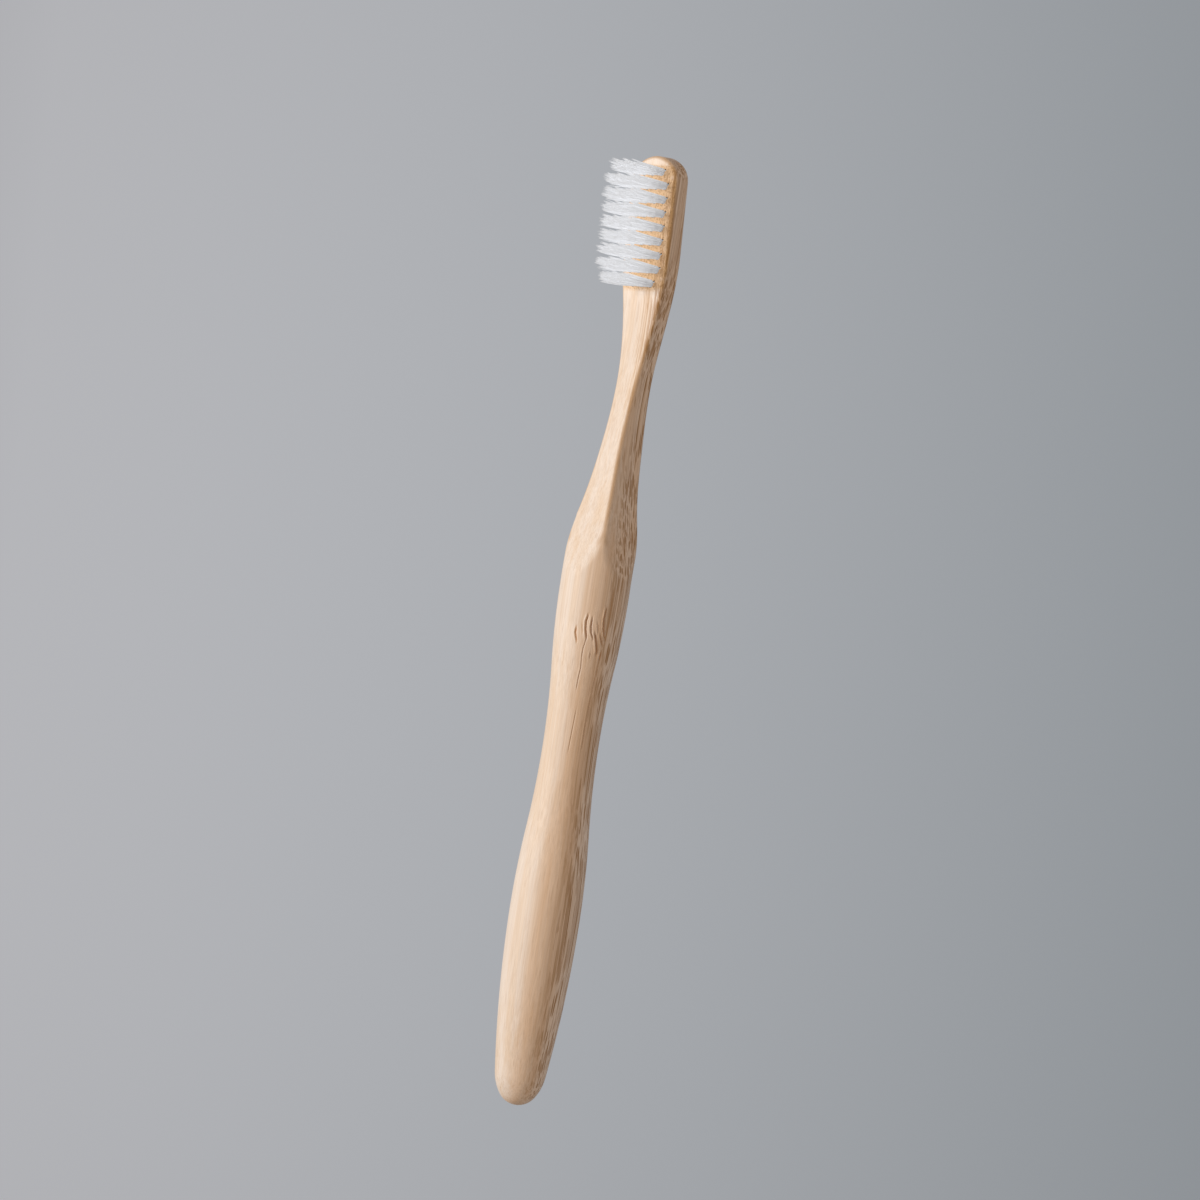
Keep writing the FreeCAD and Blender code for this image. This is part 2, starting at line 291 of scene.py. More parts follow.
# Brass of the anchors
BRASS_DARK = (0.68, 0.49, 0.20, 1)
BRASS_LIGHT = (0.80, 0.62, 0.30, 1)
BRASS_ROUGHNESS = CLOUD_SPAN + (0.28, 0.45)

# Paper floor: size, level, colours, and the line along which its painted shade is darkest
FLOOR_REACH = 6000.0
FLOOR_LEVEL = -300.0
PAPER_SHADE_GREY = (0.38, 0.42, 0.462, 1)
PAPER_LIT_PALE = (0.77, 0.805, 0.87, 1)
PAPER_ROUGHNESS = CLOUD_SPAN + (0.85, 0.95)
PAPER_DARKEST = 50.0
PAPER_REACH = 600.0
PAPER_SLANT = -0.1

# Light: each lamp's place and size in metres, power and colour, then the room as it lights and as it is seen
KEY_LAMP = ((0.10, 0.245, 0.665), 0.3, 3.75, (1.0, 0.99, 0.975))
FILL_LAMP = ((0.0, -0.7, -0.25), 0.5, 0.42, (1.0, 0.84, 0.66))
ROOM_LIGHT = (0.37, 0.35, 0.335, 1)
ROOM_SEEN = (0.42, 0.44, 0.47, 1)


def clamped_spline(stations, values, start_slope, end_slope, at):
    """The smooth cubic through values at stations that starts and ends in given slopes.

    The slopes between come from equal second derivatives on both sides of each inner station.
    """
    x = np.array(stations, float)
    y = np.array(values, float)
    step = np.diff(x)
    system = np.eye(len(x))
    right = np.zeros(len(x))
    right[0] = start_slope
    right[-1] = end_slope
    for k in range(1, len(x) - 1):
        system[k, k - 1:k + 2] = step[k], 2 * (step[k - 1] + step[k]), step[k - 1]
        right[k] = 3 * (step[k] * (y[k] - y[k - 1]) / step[k - 1] + step[k - 1] * (y[k + 1] - y[k]) / step[k])
    slope = np.linalg.solve(system, right)
    span = np.clip(np.searchsorted(x, at, side="right") - 1, 0, len(x) - 2)
    h = step[span]
    t = (at - x[span]) / h
    rise = y[span + 1] - y[span]
    curve = rise - h * slope[span]
    bend = h * (slope[span + 1] - slope[span])
    return y[span] + t * (h * slope[span] + t * (3 * curve - bend + t * (bend - 2 * curve)))


def smooth_step(low, high, value):
    """A rise from 0 at low to 1 at high, level at both ends."""
    t = np.clip((value - low) / (high - low), 0.0, 1.0)
    return t * t * (3 - 2 * t)


def half_wave(station, start, end, start_radius, end_radius):
    """Two equal arcs from one radius to another, level at both ends, that meet half way between them."""
    rise = end_radius - start_radius
    way = math.copysign(1, rise)
    arc = ((end - start) ** 2 + rise ** 2) / (4 * abs(rise))
    first = start_radius + way * (arc - np.sqrt(arc ** 2 - np.minimum(station - start, arc) ** 2))
    last = end_radius - way * (arc - np.sqrt(arc ** 2 - np.minimum(end - station, arc) ** 2))
    return np.where(station < (start + end) / 2, first, last)


def dome_radius(station):
    """The tail's radius: a round nose, a shoulder arc and a long arc that is level at the lower bulge."""
    rise = LOWER_BULGE_RADIUS - DOME_RADIUS
    run = LOWER_BULGE - DOME_LENGTH
    flank = (rise ** 2 + run ** 2) / (2 * rise)
    inward = np.array([run, rise - flank])
    inward /= np.linalg.norm(inward)
    nose = DOME_RADIUS ** 2 / DOME_LENGTH
    reach = np.array([DOME_LENGTH - nose, DOME_RADIUS])
    shoulder = (nose ** 2 - reach @ reach) / (2 * (reach @ inward + nose))
    centre = np.array([DOME_LENGTH, DOME_RADIUS]) + inward * shoulder
    outward = (np.array([nose, 0.0]) - centre) * (shoulder - nose)
    meeting = nose + nose * outward[0] / np.linalg.norm(outward)
    nose_arc = np.sqrt(np.maximum(nose ** 2 - (station - nose) ** 2, 0))
    shoulder_arc = centre[1] + np.sqrt(np.maximum(shoulder ** 2 - (station - centre[0]) ** 2, 0))
    flank_arc = LOWER_BULGE_RADIUS - flank + np.sqrt(np.maximum(flank ** 2 - (station - LOWER_BULGE) ** 2, 0))
    return np.where(station < meeting, nose_arc, np.where(station < DOME_LENGTH, shoulder_arc, flank_arc))


def blank_radius(station):
    """Radius of the turned blank: dome, bulge, waist and bulge, then level, and wider past the shoulder."""
    s = np.clip(station, 0, None)
    lower = half_wave(s, LOWER_BULGE, WAIST, LOWER_BULGE_RADIUS, WAIST_RADIUS)
    upper = half_wave(s, WAIST, UPPER_BULGE, WAIST_RADIUS, UPPER_BULGE_RADIUS)
    level = UPPER_BULGE_RADIUS + np.maximum(s - SHOULDER, 0)
    return np.select([s < LOWER_BULGE, s < WAIST, s < UPPER_BULGE], [dome_radius(s), lower, upper], level)


def milled_section(station):
    """Half width, face and back of the milled section, and its tilt, up to the head's straight sides."""
    s = np.clip(station, RUNOUT, SIDES)
    neck = np.minimum(s, HEAD)
    head = np.maximum(s, HEAD)
    rise = math.tan(HEAD_TILT)
    width = clamped_spline(MILLED_STATIONS, MILLED_WIDTHS, -2 * RUNOUT_SLOPE, 2 * HEAD_FLARE, neck)
    root = clamped_spline((HEAD, SIDES), (HEAD_ROOT_WIDTH, HEAD_WIDTH), 2 * HEAD_FLARE, 0, head)
    face = clamped_spline(MILLED_STATIONS, MILLED_FACES, -RUNOUT_SLOPE, rise, neck)
    back = clamped_spline(MILLED_STATIONS, MILLED_BACKS, -RUNOUT_SLOPE, -rise, neck)
    past = head - HEAD
    tilt = HEAD_TILT * smooth_step(NECK_TOP, HEAD, s)
    return np.where(s < HEAD, width, root) / 2, face + past * rise, back - past * rise, tilt


def head_outline(x, y):
    """Distance from the head's outline seen from above, less than zero inside.

    The outline is a straight side, then a corner arc and a flatter nose arc, each tangent to the next.
    """
    side = HEAD_WIDTH / 2
    corner = side - CORNER_INSET
    nose = side + NOSE_FLATTENING
    nose_centre = HEAD_BLOCK - nose
    setback = math.sqrt((nose - corner) ** 2 - CORNER_INSET ** 2)
    corner_centre = nose_centre + setback
    across = np.abs(y)
    from_nose = np.hypot(x - nose_centre, across) - nose
    from_corner = np.hypot(x - corner_centre, across - CORNER_INSET) - corner
    on_nose = across * setback < (x - nose_centre) * CORNER_INSET
    return np.where(x < corner_centre, across - side, np.where(on_nose, from_nose, from_corner))


def head_depth(x, y, z):
    """Distance from the head's skin, less than zero inside: its outline as a plate with rounded edges."""
    over = head_outline(x, y) + EDGE_ROUND
    above = np.abs(z) - HEAD_THICKNESS / 2 + EDGE_ROUND
    outside = np.hypot(np.maximum(over, 0), np.maximum(above, 0))
    return np.minimum(np.maximum(over, above), 0) + outside - EDGE_ROUND


def ray_to_rectangle(across, up, half_width, half_height):
    """How far a ray from the middle of a rectangle with rounded corners goes before it leaves it."""
    y = np.maximum(np.abs(across), NEXT_TO_NOTHING)
    z = np.maximum(np.abs(up), NEXT_TO_NOTHING)
    to_side = half_width / y
    to_flat = half_height / z
    corner_y = half_width - EDGE_ROUND
    corner_z = half_height - EDGE_ROUND
    along = y * corner_y + z * corner_z
    to_corner = along + np.sqrt(np.maximum(along ** 2 - corner_y ** 2 - corner_z ** 2 + EDGE_ROUND ** 2, 0))
    on_side = to_side * z <= corner_z
    on_flat = to_flat * y <= corner_y
    return np.where(on_side, to_side, np.where(on_flat, to_flat, to_corner))


def ray_to_circle(up, drop, radius):
    """How far a ray that starts below the grip's axis goes before it leaves the round blank."""
    along = -up * drop
    return along + np.sqrt(np.maximum(along ** 2 - drop ** 2 + radius ** 2, 0))


def ray_to_head(across, up, x):
    """How far a ray from the middle of the head's thickness goes before it leaves the head, by halving."""
    low = np.zeros_like(across)
    high = np.full_like(across, HEAD_WIDTH)
    for halving in range(HALVINGS):
        middle = (low + high) / 2
        inside = head_depth(x, middle * across, middle * up) < 0
        low = np.where(inside, middle, low)
        high = np.where(inside, high, middle)
    return low


def softer_minimum(a, b, blend):
    """The lesser of two distances, rounded off where they come within a blend of each other."""
    near = np.maximum(blend - np.abs(a - b), 0) / blend
    return np.minimum(a, b) - near ** 2 * blend / 4


def groove_relief(station, angle, radius):
    """Depth and darkness of the node's grooves at a station and an angle from the front.

    Across each groove the depth is a bell curve round its line, with a low lip on its left, and both fade out
    at the ends of the line.
    """
    relief = np.zeros_like(radius)
    shade = np.zeros_like(radius)
    for depth, width, line in NODE_GROOVES:
        stations, offsets = np.array(line[::-1]).T
        offset = np.interp(station, stations, offsets)
        away = radius * (angle - np.arcsin(np.clip(offset / radius, -1, 1)))
        begun = smooth_step(stations[0] - GROOVE_FADE, stations[0] + GROOVE_FADE, station)
        ended = smooth_step(stations[-1] - GROOVE_FADE, stations[-1] + GROOVE_FADE, station)
        fade = begun * (1 - ended)
        hollow = np.exp(-(away / width) ** 2) * fade
        lip = np.exp(-((away + LIP_OFFSET * width) / (LIP_WIDTH * width)) ** 2) * fade
        relief += depth * (LIP_HEIGHT * lip - hollow)
        shade = np.maximum(shade, hollow * min(1.0, depth * GROOVE_DARKENING))
    return relief, shade


def grid_stations():
    """Stations of the handle's rows: crowded at the tail's pole, along the node and round the shoulder."""
    stations = [DOME_LENGTH * np.linspace(DOME_POLE, 1, DOME_POINTS) ** 2]
    start = DOME_LENGTH
    for end, points in GRID_SPANS:
        stations.append(np.linspace(start, end, points)[1:])
        start = end
    return np.concatenate(stations)


def tip_stations():
    """Distances along the head from its straight sides: even, then crowded towards the tip."""
    even = np.linspace(0, HEAD_BLOCK - TIP_ROUNDED, TIP_EVEN_POINTS)[1:]
    crowded = HEAD_BLOCK - TIP_ROUNDED * np.linspace(1, TIP_POLE, TIP_CROWDED_POINTS)[1:] ** 2
    return np.concatenate([even, crowded])


def lay_section(middle_station, middle_height, tilt, across, up):
    """Points of sections laid on their middles, each leaning back by its tilt."""
    x = middle_station - up * np.sin(tilt) - LENGTH / 2
    z = middle_height + up * np.cos(tilt) + AXIS_HEIGHT
    return np.stack([x, across + 0 * x, z], axis=-1)


def face_height(station):
    """Height of the head's tilted face at a station."""
    return HEAD_FACE + (station - HEAD) * math.tan(HEAD_TILT)


def face_distance(station):
    """Distance along the head's tilted face, from its straight sides, to a station."""
    return (station - SIDES) / math.cos(HEAD_TILT)


def head_points(x, y, z):
    """Points of the head: x along its face from its straight sides, y across and z out of the face."""
    station = SIDES + x * math.cos(HEAD_TILT) - z * math.sin(HEAD_TILT)
    height = face_height(SIDES) + x * math.sin(HEAD_TILT) + z * math.cos(HEAD_TILT)
    return np.stack([station - LENGTH / 2, y + 0 * station, height + AXIS_HEIGHT], axis=-1)


def on_head(x, z):
    """The way back from points of the frame: distance along the head's face, and distance out of it."""
    ahead = x + LENGTH / 2 - SIDES
    height = z - AXIS_HEIGHT - face_height(SIDES)
    along = ahead * math.cos(HEAD_TILT) + height * math.sin(HEAD_TILT)
    return along, height * math.cos(HEAD_TILT) - ahead * math.sin(HEAD_TILT)


def even_angles():
    """Even angles round a section."""
    return np.linspace(0, 2 * math.pi, AROUND, endpoint=False)[None, :]


def crowded_angles(station):
    """Angles round the sections, drawn together on the front where the node and its cracks are."""
    even = even_angles()
    begun = smooth_step(CRACK_END - CROWDING_RUN, CRACK_END, station)
    crowding = begun * (1 - smooth_step(NODE_END, SHOULDER, station))
    return even - FRONT_CROWDING * crowding * np.sin(even - FRONT_ANGLE)


def spread_rays(angle, wide, high):
    """Directions across and up of the rays at angles round a section, spread as on an ellipse."""
    length = np.hypot(wide * np.cos(angle), high * np.sin(angle))
    return wide * np.cos(angle) / length, high * np.sin(angle) / length


def grip_and_neck_rows():
    """Rows of the grip, shoulder and neck: on each ray the lesser of the round blank and the milled flats."""
    station = grid_stations()[:, None]
    radius = blank_radius(station)
    half_width, face, back, tilt = milled_section(station)
    milled = station > RUNOUT
    half_height = (face + back) * np.cos(tilt) / 2
    drop = np.where(milled, half_height - face * np.cos(tilt), 0)
    lean = np.where(milled, tilt, 0)
    wide = np.where(milled, np.minimum(half_width, radius), radius)
    high = np.where(milled, np.minimum(half_height, radius), radius)
    angle = crowded_angles(station)
    across, up = spread_rays(angle, wide, high)
    round_ray = ray_to_circle(up, drop, radius)
    flat_ray = ray_to_rectangle(across, up, half_width, half_height)
    growth = smooth_step(RUNOUT, RUNOUT + CREASE_GROWTH, station)
    blend = CREASE_START + (CREASE_BLEND - CREASE_START) * growth
    ray = np.where(milled, softer_minimum(round_ray, flat_ray, blend), round_ray)
    ray = ray + groove_relief(station + 0 * ray, angle - FRONT_ANGLE, radius + 0 * ray)[0]
    middle_station = station + np.sin(lean) * half_height
    middle_height = np.where(milled, face - half_height * np.cos(lean), 0.0)
    return lay_section(middle_station, middle_height, lean, ray * across, ray * up)


def head_rows():
    """Rows of the head: on each ray the skin of the rounded plate."""
    x = tip_stations()[:, None]
    start = np.zeros_like(x)
    wide = ray_to_head(start + 1, start, x)
    high = ray_to_head(start, start + 1, x)
    across, up = spread_rays(even_angles(), wide, high)
    ray = ray_to_head(across, up, x + 0 * across)
    return head_points(x, ray * across, ray * up - HEAD_THICKNESS / 2)


def new_piece(name, points, faces):
    """A smooth mesh object at the origin from points in millimetres and lists of faces."""
    mesh = bpy.data.meshes.new(name)
    mesh.from_pydata((points * MM).tolist(), [], faces)
    mesh.polygons.foreach_set("use_smooth", np.ones(len(mesh.polygons), bool))
    mesh.validate()
    piece = bpy.data.objects.new(name, mesh)
    bpy.context.scene.collection.objects.link(piece)
    return piece


def tube_faces(rows, sides):
    """Four-cornered faces between each row of a tube and the next, facing outward."""
    here = np.arange(rows * sides).reshape(rows, sides)
    turned = np.roll(here, -1, axis=1)
    return np.stack([here[:-1], turned[:-1], turned[1:], here[1:]], axis=-1).reshape(-1, 4)


def handle_skin():
    """The handle as rings from the tail's pole to the tip's, closed by a fan at each."""
    rows = np.concatenate([grip_and_neck_rows(), head_rows()])
    tail = np.array([[-LENGTH / 2, 0, AXIS_HEIGHT]])
    tip = head_points(np.array([HEAD_BLOCK]), 0.0, np.array([-HEAD_THICKNESS / 2]))
    points = np.concatenate([rows.reshape(-1, 3), tail, tip])
    count = len(rows) * AROUND
    first = np.arange(AROUND)
    last = first + count - AROUND
    tail_fan = np.stack([np.full(AROUND, count), np.roll(first, -1), first], axis=-1)
    tip_fan = np.stack([np.full(AROUND, count + 1), last, np.roll(last, -1)], axis=-1)
    faces = tube_faces(len(rows), AROUND).tolist() + tail_fan.tolist() + tip_fan.tolist()
    return new_piece("bamboo_handle", points, faces)


def tuft_places():
    """Each tuft's row, column, station and offset across: row 1 at the tip, column 1 at -Y."""
    places = []
    for row in range(1, ROWS + 1):
        columns = END_ROW_COLUMNS if row in (1, ROWS) else COLUMNS
        for column in range(1, columns + 1):
            station = LENGTH - TIP_MARGIN - (row - 1) * ROW_PITCH
            places.append((row, column, station, (column - (columns + 1) / 2) * COLUMN_PITCH))
    return places


def on_face(points, station, across):
    """Points drawn about a tuft's hole, +Z out of the face, moved to a station and an offset across."""
    return head_points(face_distance(station) + points[..., 0], points[..., 1] + across, points[..., 2])


def keyhole():
    """Outline of a tuft hole with its slit: a circle with two square ends standing out at opposite sides."""
    start = math.asin(SLIT_THICKNESS / 2 / HOLE_RADIUS)
    turns = np.linspace(start, math.pi - start, HOLE_SIDES // 2)
    half = np.stack([HOLE_RADIUS * np.cos(turns), HOLE_RADIUS * np.sin(turns)], axis=-1)
    ends = np.array([[-SLIT_LENGTH / 2, SLIT_THICKNESS / 2], [-SLIT_LENGTH / 2, -SLIT_THICKNESS / 2]])
    outline = np.concatenate([half, ends, -half, -ends])
    turn = SLIT_TURN + math.pi / 2
    spin = np.array([[math.cos(turn), math.sin(turn)], [-math.sin(turn), math.cos(turn)]])
    return outline @ spin


def hole_cutter():
    """Every tuft hole as a closed prism from the hole's floor to above the face."""
    outline = keyhole()
    sides = len(outline)
    levels = (-HOLE_DEPTH, EDGE_ROUND)
    prism = np.concatenate([np.column_stack([outline, np.full(sides, level)]) for level in levels])
    points = []
    faces = []
    for row, column, station, across in tuft_places():
        start = len(points) * 2 * sides
        points.append(on_face(prism, station, across))
        faces += (tube_faces(2, sides) + start).tolist()
        faces.append((np.arange(sides)[::-1] + start).tolist())
        faces.append((np.arange(sides) + sides + start).tolist())
    return new_piece("hole_cutter", np.concatenate(points), faces)


def drill(piece, cutter):
    """Cut the cutter's solids out of a piece and remove the cutter."""
    cut = piece.modifiers.new("holes", "BOOLEAN")
    cut.operation = "DIFFERENCE"
    cut.solver = "EXACT"
    cut.object = cutter
    whole = piece.data
    shaped = piece.evaluated_get(bpy.context.evaluated_depsgraph_get())
    drilled = bpy.data.meshes.new_from_object(shaped)
    piece.modifiers.clear()
    piece.data = drilled
    bpy.data.meshes.remove(whole)
    bpy.data.objects.remove(cutter)


def paint(piece, name, values, domain="POINT"):
    """Store one number for each vertex or face of a piece under a name, for its material."""
    store = piece.data.attributes.new(name, "FLOAT", domain)
    store.data.foreach_set("value", values.astype(np.float32))


def read_places(items, field):
    """The x, y and z in millimetres of a field of every vertex or face."""
    flat = np.zeros(len(items) * 3, np.float32)
    items.foreach_get(field, flat)
    return flat.reshape(-1, 3).T.astype(float) / MM


def from_tufts(along, across, narrowed=1.0):
    """Distance on the head's face from the nearest tuft's middle, its share across the brush narrowed."""
    nearest = np.full_like(along, LENGTH)
    for row, column, station, offset in tuft_places():
        away = np.hypot(along - face_distance(station), (across - offset) * narrowed)
        nearest = np.minimum(nearest, away)
    return nearest


def mark_grooves(piece):
    """Store where the grooves of the node darken the handle."""
    x, y, z = read_places(piece.data.vertices, "co")
    station = x + LENGTH / 2
    radius = blank_radius(np.minimum(station, UPPER_BULGE))
    angle = np.arctan2(z - AXIS_HEIGHT, y) - FRONT_ANGLE
    angle = (angle + math.pi) % (2 * math.pi) - math.pi
    shade = groove_relief(station, angle, radius)[1]
    paint(piece, "groove", np.where(station < SHOULDER, shade, 0))


def paint_edge_shade(piece):
    """Store where warm shade is painted along the edges of the handle's flats.

    An edge is where a point is near a side and also a face of its section, or near the round blank and also a
    flat. On the head it is where a point is near the outline and also a face.
    """
    x, y, z = read_places(piece.data.vertices, "co")
    station = x + LENGTH / 2
    height = z - AXIS_HEIGHT
    half_width, face, back, tilt = milled_section(station)
    from_side = half_width - np.abs(y)
    from_face = np.minimum(face - height, back + height)
    from_round = np.maximum(UPPER_BULGE_RADIUS - np.hypot(y, height), 0)
    unformed = CREASE_CLEARANCE * (1 - smooth_step(*CREASE_SHOWS, station))
    crease = np.maximum(from_round, np.minimum(from_side, from_face)) + unformed
    crease = np.where(station < SHOULDER, crease, np.inf)
    along, out = on_head(x, z)
    rim = np.maximum(-head_outline(along, y), np.minimum(-out, HEAD_THICKNESS + out))
    edge = np.where(station < SIDES, np.minimum(np.maximum(from_side, from_face), crease), rim)
    edge_shade = 1 - smooth_step(*EDGE_BAND, edge)
    paint(piece, "edge", np.where(station > RUNOUT, edge_shade, 0))


def paint_tuft_shade(piece):
    """Store where shade is painted on the head's face among the tufts, between the first row and the last."""
    x, y, z = read_places(piece.data.vertices, "co")
    along, out = on_head(x, z)
    near = 1 - smooth_step(*TUFT_SHADE_REACH, from_tufts(along, y, TUFT_SHADE_NARROWED))
    rows = [face_distance(station) for row, column, station, across in tuft_places()]
    between = smooth_step(*TUFT_SHADE_ENDS, np.minimum(along - min(rows), max(rows) - along))
    paint(piece, "painted_tuft_shade", near * between * smooth_step(*TUFT_SHADE_DEPTH, out))


def paint_hole_shade(piece):
    """Store which faces are walls and floors of the tuft holes, where dark shade is painted: those below the
    face and close to a tuft.
    """
    x, y, z = read_places(piece.data.polygons, "center")
    along, out = on_head(x, z)
    near = from_tufts(along, y) < SLIT_LENGTH / 2 + HOLE_MARGIN
    sunk = (out < -HOLE_LIP) & (out > -HOLE_DEPTH - HOLE_LIP)
    paint(piece, "hole", near & sunk, "FACE")


def sunflower(count):
    """Shares of a disk's radius that spread points evenly over it, each a golden angle on from the last."""
    return np.sqrt((np.arange(count) + 0.5) / count)


def filament_paths(draw):
    """Centre lines of one tuft's filaments: even in the hole, then flaring to the tip in loose clumps.

    They stand in a sunflower pattern. Past the face each goes out from its place by a power of the height. It
    leans with its clump and bows by the square of the height, and is drawn to its clump by the cube. A few
    strays bow more.
    """
    share = sunflower(FILAMENTS)
    turn = np.arange(FILAMENTS) * GOLDEN_ANGLE + draw.uniform(-TURN_JITTER, TURN_JITTER, FILAMENTS)
    direction = np.stack([np.cos(turn), np.sin(turn)], axis=-1)
    base = (ROOT_RADIUS - FILAMENT_RADIUS) * share[:, None] * direction
    spread = share * draw.uniform(*REACH_RANGE, FILAMENTS)
    reach = TIP_RADIUS * spread[:, None] * direction * (1, 1 + TIP_SPREAD)
    ring = draw.uniform(0, 2 * math.pi) + np.arange(CLUMPS) * GOLDEN_ANGLE
    out = TIP_RADIUS * sunflower(CLUMPS)
    clumps = np.stack([out * np.cos(ring), out * np.sin(ring)], axis=-1)
    own = np.argmin(np.linalg.norm(reach[:, None] - clumps[None], axis=-1), axis=1)
    lean = draw.normal(TIP_LEAN, CLUMP_LEAN, (CLUMPS, 2))[own]
    stray = draw.uniform(0, 1, FILAMENTS) < STRAY_SHARE
    bow = draw.normal(0, 1, (FILAMENTS, 2)) * np.where(stray, STRAY_BOW, BOW)[:, None]
    pull = (clumps[own] - reach) * np.where(stray, 0, CLUMP_PULL)[:, None]
    height = np.array(FILAMENT_HEIGHTS)
    level = np.clip(height / BRISTLE_LENGTH, 0, 1)[None, :, None]
    tip = BRISTLE_LENGTH - TIP_MARGIN_UP - draw.uniform(0, 1, FILAMENTS) ** RAGGED_POWER * TIP_RAGGED
    tall = np.where(height > 0, height * (tip / BRISTLE_LENGTH)[:, None], height)
    plan = base[:, None] + (reach - base)[:, None] * level ** FLARE_POWER
    plan = plan + (lean + bow)[:, None] * level ** 2 + pull[:, None] * level ** 3
    return np.concatenate([plan, tall[:, :, None]], axis=-1)


def tuft(row, column, station, across, draw):
    """A tuft of separate filaments: thin tubes carried along their paths, rounded off at the tip."""
    paths = filament_paths(draw)
    steps = paths.shape[1]
    turns = np.linspace(0, 2 * math.pi, FILAMENT_SIDES, endpoint=False)
    ring = np.stack([np.cos(turns), np.sin(turns), 0 * turns], axis=-1) * FILAMENT_RADIUS
    tubes = paths[:, :, None, :] + ring[None, None, :, :] * np.array(FILAMENT_TAPER)[None, :, None, None]
    points = on_face(tubes.reshape(-1, 3), station, across)
    size = steps * FILAMENT_SIDES
    starts = np.arange(FILAMENTS)[:, None, None] * size
    walls = (tube_faces(steps, FILAMENT_SIDES)[None] + starts).reshape(-1, 4).tolist()
    cap = np.arange(FILAMENT_SIDES)
    tops = (cap + size - FILAMENT_SIDES + starts[:, 0]).tolist()
    bottoms = (cap[::-1] + starts[:, 0]).tolist()
    piece = new_piece("bristles_row%d_col%d" % (row, column), points, walls + tops + bottoms)
    outward = np.broadcast_to(ring / FILAMENT_RADIUS + (0, 0, UPWARD_SHEEN), tubes.shape).reshape(-1, 3)
    normals = head_points(outward[:, 0], outward[:, 1], outward[:, 2]) - head_points(0.0, 0.0, np.zeros(1))
    piece.data.normals_split_custom_set_from_vertices(normals / np.linalg.norm(normals, axis=1)[:, None])
    paint(piece, "height", np.clip(tubes[..., 2] / BRISTLE_LENGTH, 0, 1).reshape(-1))
    return piece


def feed(tree, made, inputs):
    """Feed the inputs of a shader node from sockets or plain values."""
    for key, value in inputs.items():
        if isinstance(value, bpy.types.NodeSocket):
            tree.links.new(value, made.inputs[key])
        else:
            made.inputs[key].default_value = value


def node(tree, kind, inputs, **settings):
    """Add a shader node with its settings, and feed its inputs."""
    made = tree.nodes.new(kind)
    for name, value in settings.items():
        setattr(made, name, value)
    feed(tree, made, inputs)
    return made


def calculate(tree, operation, a, b):
    """The value of two numbers put together by a math node."""
    return node(tree, "ShaderNodeMath", {0: a, 1: b}, operation=operation).outputs[0]


def ramp_between(tree, value, low, high, at_low, at_high):
    """A value that goes smoothly from one number to another while its source goes from low to high."""
    settings = {"Value": value, "From Min": low, "From Max": high, "To Min": at_low, "To Max": at_high}
    return node(tree, "ShaderNodeMapRange", settings, interpolation_type="SMOOTHSTEP").outputs[0]


def mix_colours(tree, share, a, b, blend="MIX"):
    """A colour between two colours by a share."""
    inputs = {"Factor": share, 6: a, 7: b}
    return node(tree, "ShaderNodeMix", inputs, data_type="RGBA", blend_type=blend).outputs[2]


def stored(tree, name):
    """The number that a piece stores under a name."""
    return node(tree, "ShaderNodeAttribute", {}, attribute_name=name).outputs["Fac"]


def let_through(tree, shader, share):
    """Make a material clear by a share."""
    clear = node(tree, "ShaderNodeBsdfTransparent", {})
    both = node(tree, "ShaderNodeMixShader", {0: share, 1: shader.outputs[0], 2: clear.outputs[0]})
    feed(tree, tree.nodes["Material Output"], {"Surface": both.outputs[0]})


def new_material(name):
    """An empty node material with its tree, its main shader and the object's coordinates in millimetres."""
    made = bpy.data.materials.new(name)
    made.use_nodes = True
    tree = made.node_tree
    shader = tree.nodes["Principled BSDF"]
    place = node(tree, "ShaderNodeTexCoord", {}).outputs["Object"]
    scaled = node(tree, "ShaderNodeMapping", {"Vector": place, "Scale": (1 / MM,) * 3}).outputs[0]
    return made, tree, shader, scaled


def cloud_group():
    """The node group of clouds that all the materials use: cloudy values at a place, stretched by a scale."""
    group = bpy.data.node_groups.new(CLOUD_GROUP, "ShaderNodeTree")
    group.interface.new_socket("Place", in_out="INPUT", socket_type="NodeSocketVector")
    group.interface.new_socket("Scale", in_out="INPUT", socket_type="NodeSocketVector")
    group.interface.new_socket("Detail", in_out="INPUT", socket_type="NodeSocketFloat")
    group.interface.new_socket("Value", in_out="OUTPUT", socket_type="NodeSocketFloat")
    given = node(group, "NodeGroupInput", {}).outputs
    stretched = node(group, "ShaderNodeMapping", {"Vector": given["Place"], "Scale": given["Scale"]})
    inputs = {"Vector": stretched.outputs[0], "Scale": 1.0, "Detail": given["Detail"]}
    cloudy = node(group, "ShaderNodeTexNoise", inputs)
    node(group, "NodeGroupOutput", {"Value": cloudy.outputs[0]})
    return group


def clouds(tree, place, along, across, detail):
    """Cloudy values, drawn out to a length along the brush and a width across it."""
    group = bpy.data.node_groups.get(CLOUD_GROUP) or cloud_group()
    inputs = {"Place": place, "Scale": (1 / along, 1 / across, 1 / across), "Detail": detail}
    return node(tree, "ShaderNodeGroup", inputs, node_tree=group).outputs["Value"]


def streaks(tree, place, along, across, low, high):
    """Streaks of the bamboo: the crests, from low to high, of clouds drawn out along the brush."""
    return ramp_between(tree, clouds(tree, place, along, across, STREAK_DETAIL), low, high, 0.0, 1.0)


